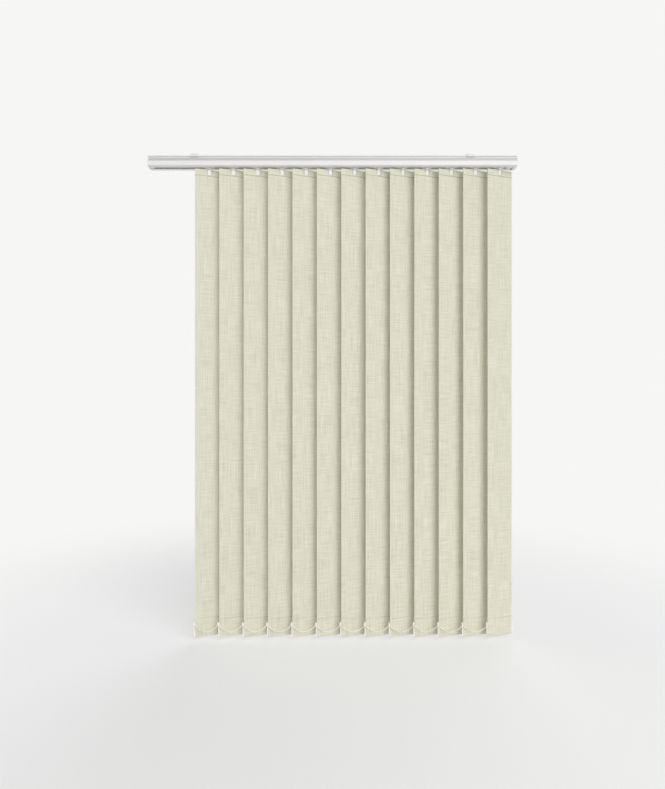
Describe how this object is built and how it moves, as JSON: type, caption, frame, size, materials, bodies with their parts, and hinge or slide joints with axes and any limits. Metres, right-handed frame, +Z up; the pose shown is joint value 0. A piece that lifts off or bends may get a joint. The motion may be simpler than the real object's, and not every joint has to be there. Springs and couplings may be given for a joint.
{
  "type": "vertical blind",
  "caption": "Ceiling-fixed vertical blind: white headrail with sliding carriers, tilting linen-look fabric vanes, weights and bead chains at the foot.",
  "frame": {"origin": "on the ceiling plane, midway between the two bracket screws", "axes": "+X along the rail to the control end, +Y from the room to the window, +Z up"},
  "size_m": [1.152, 0.0404, 1.506],
  "materials": {
    "rail_paint": "satin",
    "white_plastic": "satin",
    "carrier_plastic": "matte",
    "bracket_steel": "satin",
    "rod_aluminium": "satin",
    "linen_fabric": "matte",
    "weight_plastic": "satin",
    "chain_plastic": "gloss"
  },
  "bodies": {
    "headrail": {"headrail": "rail_paint", "left_end_cap": "white_plastic", "control_end_cap": "white_plastic", "mounting_brackets": "bracket_steel", "carrier_13": "carrier_plastic"},
    "tilt_drive": {"tilt_rod": "rod_aluminium", "chain_wheel": "white_plastic"},
    "carrier 01": {"carrier_01": "carrier_plastic"},
    "carrier 02": {"carrier_02": "carrier_plastic"},
    "carrier 03": {"carrier_03": "carrier_plastic"},
    "carrier 04": {"carrier_04": "carrier_plastic"},
    "carrier 05": {"carrier_05": "carrier_plastic"},
    "carrier 06": {"carrier_06": "carrier_plastic"},
    "carrier 07": {"carrier_07": "carrier_plastic"},
    "carrier 08": {"carrier_08": "carrier_plastic"},
    "carrier 09": {"carrier_09": "carrier_plastic"},
    "carrier 10": {"carrier_10": "carrier_plastic"},
    "carrier 11": {"carrier_11": "carrier_plastic"},
    "carrier 12": {"carrier_12": "carrier_plastic"},
    "vane 01": {"hook_01": "white_plastic", "vane_01": "linen_fabric", "weight_01": "weight_plastic"},
    "vane 02": {"hook_02": "white_plastic", "vane_02": "linen_fabric", "weight_02": "weight_plastic"},
    "vane 03": {"hook_03": "white_plastic", "vane_03": "linen_fabric", "weight_03": "weight_plastic"},
    "vane 04": {"hook_04": "white_plastic", "vane_04": "linen_fabric", "weight_04": "weight_plastic"},
    "vane 05": {"hook_05": "white_plastic", "vane_05": "linen_fabric", "weight_05": "weight_plastic"},
    "vane 06": {"hook_06": "white_plastic", "vane_06": "linen_fabric", "weight_06": "weight_plastic"},
    "vane 07": {"hook_07": "white_plastic", "vane_07": "linen_fabric", "weight_07": "weight_plastic"},
    "vane 08": {"hook_08": "white_plastic", "vane_08": "linen_fabric", "weight_08": "weight_plastic"},
    "vane 09": {"hook_09": "white_plastic", "vane_09": "linen_fabric", "weight_09": "weight_plastic"},
    "vane 10": {"hook_10": "white_plastic", "vane_10": "linen_fabric", "weight_10": "weight_plastic"},
    "vane 11": {"hook_11": "white_plastic", "vane_11": "linen_fabric", "weight_11": "weight_plastic"},
    "vane 12": {"hook_12": "white_plastic", "vane_12": "linen_fabric", "weight_12": "weight_plastic"},
    "vane 13": {"hook_13": "white_plastic", "vane_13": "linen_fabric", "weight_13": "weight_plastic"},
    "front chain": {"front_chain": "chain_plastic"},
    "back chain": {"back_chain": "chain_plastic"}
  },
  "joints": [
    {"name": "traverse 01", "type": "slide", "parent": "headrail", "child": "carrier 01", "axis": [1, 0, 0], "range_m": [0, 0.552], "deforming": ["front_chain", "back_chain"]},
    {"name": "traverse 02", "type": "slide", "parent": "headrail", "child": "carrier 02", "axis": [1, 0, 0], "range_m": [0, 0.506]},
    {"name": "traverse 03", "type": "slide", "parent": "headrail", "child": "carrier 03", "axis": [1, 0, 0], "range_m": [0, 0.46]},
    {"name": "traverse 04", "type": "slide", "parent": "headrail", "child": "carrier 04", "axis": [1, 0, 0], "range_m": [0, 0.414]},
    {"name": "traverse 05", "type": "slide", "parent": "headrail", "child": "carrier 05", "axis": [1, 0, 0], "range_m": [0, 0.368]},
    {"name": "traverse 06", "type": "slide", "parent": "headrail", "child": "carrier 06", "axis": [1, 0, 0], "range_m": [0, 0.322]},
    {"name": "traverse 07", "type": "slide", "parent": "headrail", "child": "carrier 07", "axis": [1, 0, 0], "range_m": [0, 0.276]},
    {"name": "traverse 08", "type": "slide", "parent": "headrail", "child": "carrier 08", "axis": [1, 0, 0], "range_m": [0, 0.23]},
    {"name": "traverse 09", "type": "slide", "parent": "headrail", "child": "carrier 09", "axis": [1, 0, 0], "range_m": [0, 0.184]},
    {"name": "traverse 10", "type": "slide", "parent": "headrail", "child": "carrier 10", "axis": [1, 0, 0], "range_m": [0, 0.138]},
    {"name": "traverse 11", "type": "slide", "parent": "headrail", "child": "carrier 11", "axis": [1, 0, 0], "range_m": [0, 0.092]},
    {"name": "traverse 12", "type": "slide", "parent": "headrail", "child": "carrier 12", "axis": [1, 0, 0], "range_m": [0, 0.046]},
    {"name": "tilt 01", "type": "hinge", "parent": "carrier 01", "child": "vane 01", "pos_m": [-0.387, 0, -0.043], "axis": [0, 0, 1], "range_deg": [-3, 147]},
    {"name": "tilt 02", "type": "hinge", "parent": "carrier 02", "child": "vane 02", "pos_m": [-0.311, 0, -0.043], "axis": [0, 0, 1], "range_deg": [-3, 147]},
    {"name": "tilt 03", "type": "hinge", "parent": "carrier 03", "child": "vane 03", "pos_m": [-0.235, 0, -0.043], "axis": [0, 0, 1], "range_deg": [-3, 147]},
    {"name": "tilt 04", "type": "hinge", "parent": "carrier 04", "child": "vane 04", "pos_m": [-0.159, 0, -0.043], "axis": [0, 0, 1], "range_deg": [-3, 147]},
    {"name": "tilt 05", "type": "hinge", "parent": "carrier 05", "child": "vane 05", "pos_m": [-0.083, 0, -0.043], "axis": [0, 0, 1], "range_deg": [-3, 147]},
    {"name": "tilt 06", "type": "hinge", "parent": "carrier 06", "child": "vane 06", "pos_m": [-0.007, 0, -0.043], "axis": [0, 0, 1], "range_deg": [-3, 147]},
    {"name": "tilt 07", "type": "hinge", "parent": "carrier 07", "child": "vane 07", "pos_m": [0.069, 0, -0.043], "axis": [0, 0, 1], "range_deg": [-3, 147]},
    {"name": "tilt 08", "type": "hinge", "parent": "carrier 08", "child": "vane 08", "pos_m": [0.145, 0, -0.043], "axis": [0, 0, 1], "range_deg": [-3, 147]},
    {"name": "tilt 09", "type": "hinge", "parent": "carrier 09", "child": "vane 09", "pos_m": [0.221, 0, -0.043], "axis": [0, 0, 1], "range_deg": [-3, 147]},
    {"name": "tilt 10", "type": "hinge", "parent": "carrier 10", "child": "vane 10", "pos_m": [0.297, 0, -0.043], "axis": [0, 0, 1], "range_deg": [-3, 147]},
    {"name": "tilt 11", "type": "hinge", "parent": "carrier 11", "child": "vane 11", "pos_m": [0.373, 0, -0.043], "axis": [0, 0, 1], "range_deg": [-3, 147]},
    {"name": "tilt 12", "type": "hinge", "parent": "carrier 12", "child": "vane 12", "pos_m": [0.449, 0, -0.043], "axis": [0, 0, 1], "range_deg": [-3, 147]},
    {"name": "tilt 13", "type": "hinge", "parent": "headrail", "child": "vane 13", "pos_m": [0.525, 0, -0.043], "axis": [0, 0, 1], "range_deg": [-3, 147]},
    {"name": "tilt rod", "type": "hinge", "parent": "headrail", "child": "tilt_drive", "pos_m": [0, 0.0085, -0.0145], "axis": [1, 0, 0], "range_deg": [-30, 1470]},
    {"name": "front chain link", "type": "hinge", "parent": "vane 13", "child": "front chain", "pos_m": [0.47909, -0.01792, -1.4635], "axis": [0, 0, 1], "range_deg": [-147, 3]},
    {"name": "back chain link", "type": "hinge", "parent": "vane 13", "child": "back chain", "pos_m": [0.57091, 0.01792, -1.4635], "axis": [0, 0, 1], "range_deg": [-147, 3]}
  ],
  "couplings": [
    {"joint": "traverse 02", "follows": "traverse 01", "ratio": 0.91667},
    {"joint": "traverse 03", "follows": "traverse 01", "ratio": 0.83333},
    {"joint": "traverse 04", "follows": "traverse 01", "ratio": 0.75},
    {"joint": "traverse 05", "follows": "traverse 01", "ratio": 0.66667},
    {"joint": "traverse 06", "follows": "traverse 01", "ratio": 0.58333},
    {"joint": "traverse 07", "follows": "traverse 01", "ratio": 0.5},
    {"joint": "traverse 08", "follows": "traverse 01", "ratio": 0.41667},
    {"joint": "traverse 09", "follows": "traverse 01", "ratio": 0.33333},
    {"joint": "traverse 10", "follows": "traverse 01", "ratio": 0.25},
    {"joint": "traverse 11", "follows": "traverse 01", "ratio": 0.16667},
    {"joint": "traverse 12", "follows": "traverse 01", "ratio": 0.083333},
    {"joint": "tilt 02", "follows": "tilt 01", "ratio": 1},
    {"joint": "tilt 03", "follows": "tilt 01", "ratio": 1},
    {"joint": "tilt 04", "follows": "tilt 01", "ratio": 1},
    {"joint": "tilt 05", "follows": "tilt 01", "ratio": 1},
    {"joint": "tilt 06", "follows": "tilt 01", "ratio": 1},
    {"joint": "tilt 07", "follows": "tilt 01", "ratio": 1},
    {"joint": "tilt 08", "follows": "tilt 01", "ratio": 1},
    {"joint": "tilt 09", "follows": "tilt 01", "ratio": 1},
    {"joint": "tilt 10", "follows": "tilt 01", "ratio": 1},
    {"joint": "tilt 11", "follows": "tilt 01", "ratio": 1},
    {"joint": "tilt 12", "follows": "tilt 01", "ratio": 1},
    {"joint": "tilt 13", "follows": "tilt 01", "ratio": 1},
    {"joint": "tilt rod", "follows": "tilt 01", "ratio": 10},
    {"joint": "front chain link", "follows": "tilt 01", "ratio": -1},
    {"joint": "back chain link", "follows": "tilt 01", "ratio": -1}
  ]
}
